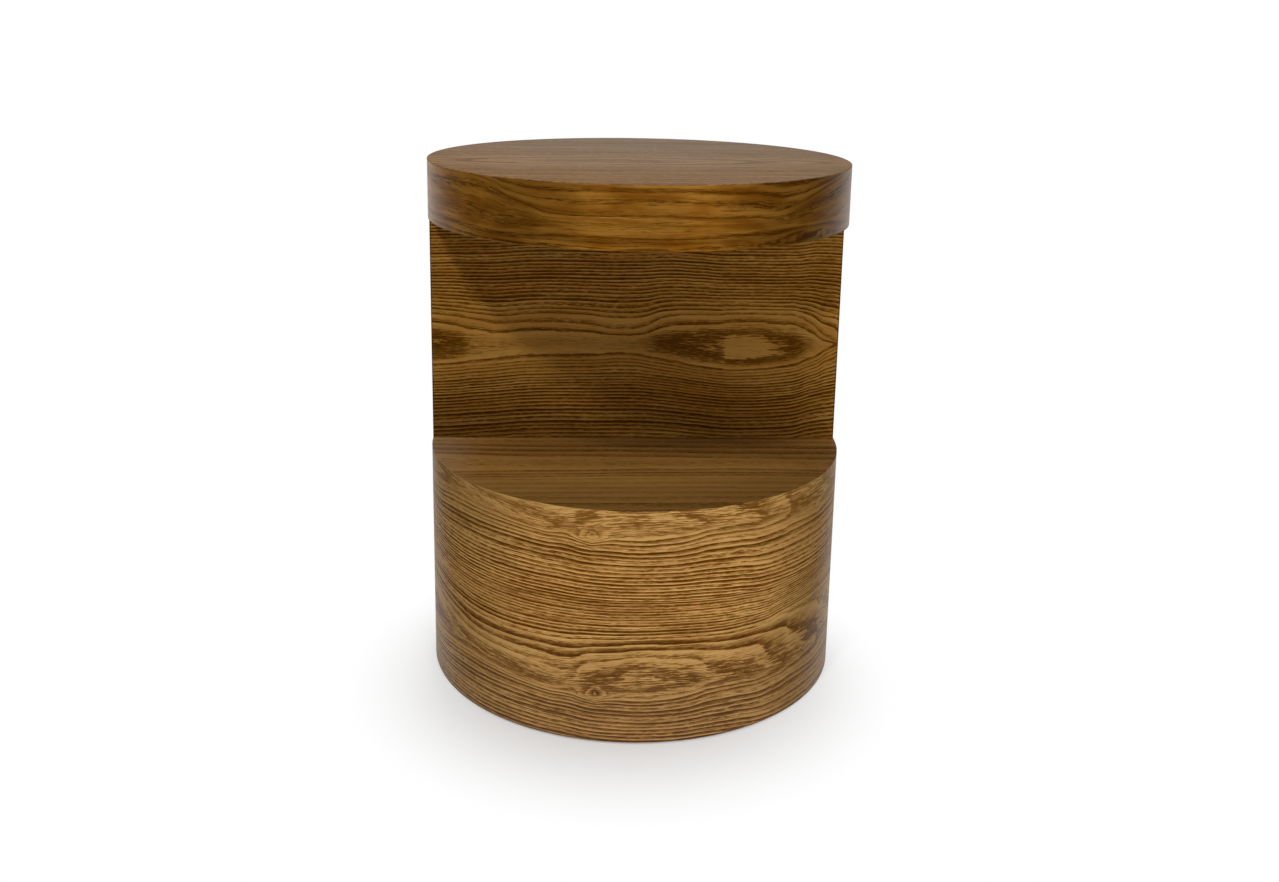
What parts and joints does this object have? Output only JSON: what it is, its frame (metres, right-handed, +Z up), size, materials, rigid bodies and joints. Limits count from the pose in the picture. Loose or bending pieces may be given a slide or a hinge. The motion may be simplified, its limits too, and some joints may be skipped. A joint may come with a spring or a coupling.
{
  "type": "lamp table",
  "caption": "Round wooden lamp table: a drum base with a shelf on top, a half-round column at the back of an open niche, and a thick round top.",
  "frame": {"origin": "on the floor, on the vertical axis of the drum and the top", "axes": "+Z up along the axis; the open niche faces -Y; +X is to the right seen from the niche side"},
  "size_m": [0.4, 0.4, 0.5],
  "materials": {
    "wood_veneer": "brown-stained open-pored veneer under satin lacquer",
    "fibreboard": "raw medium-density fibreboard",
    "bending_plywood": "raw bending plywood",
    "batten_softwood": "planed softwood",
    "dowel_beech": "fluted beech",
    "screw_steel": "zinc-plated steel",
    "glide_nylon": "dark brown nylon"
  },
  "bodies": {
    "root": {"base_bottom_board": "fibreboard", "base_inner_skin": "bending_plywood", "base_middle_former": "fibreboard", "base_outer_skin": "bending_plywood", "base_shelf_veneer": "wood_veneer", "base_stud_1": "batten_softwood", "base_stud_2": "batten_softwood", "base_stud_3": "batten_softwood", "base_stud_4": "batten_softwood", "base_stud_5": "batten_softwood", "base_stud_6": "batten_softwood", "base_top_board": "fibreboard", "base_wrap_veneer": "wood_veneer", "bottom_screws": "screw_steel", "column_back_stud": "batten_softwood", "column_back_veneer": "wood_veneer", "column_bottom_former": "fibreboard", "column_face_board": "fibreboard", "column_face_veneer": "wood_veneer", "column_inner_skin": "bending_plywood", "column_left_stile": "batten_softwood", "column_middle_former": "fibreboard", "column_outer_skin": "bending_plywood", "column_right_stile": "batten_softwood", "column_top_former": "fibreboard", "glide_1": "glide_nylon", "glide_2": "glide_nylon", "glide_3": "glide_nylon", "glide_4": "glide_nylon", "glide_nails": "screw_steel", "lower_dowels": "dowel_beech", "lower_screws": "screw_steel", "top_core_bar": "fibreboard", "top_core_ring": "fibreboard", "top_face_board": "fibreboard", "top_face_veneer": "wood_veneer", "top_rim_veneer": "wood_veneer", "top_under_board": "fibreboard", "top_under_veneer": "wood_veneer", "upper_dowels": "dowel_beech", "upper_screws": "screw_steel"}
  },
  "joints": []
}
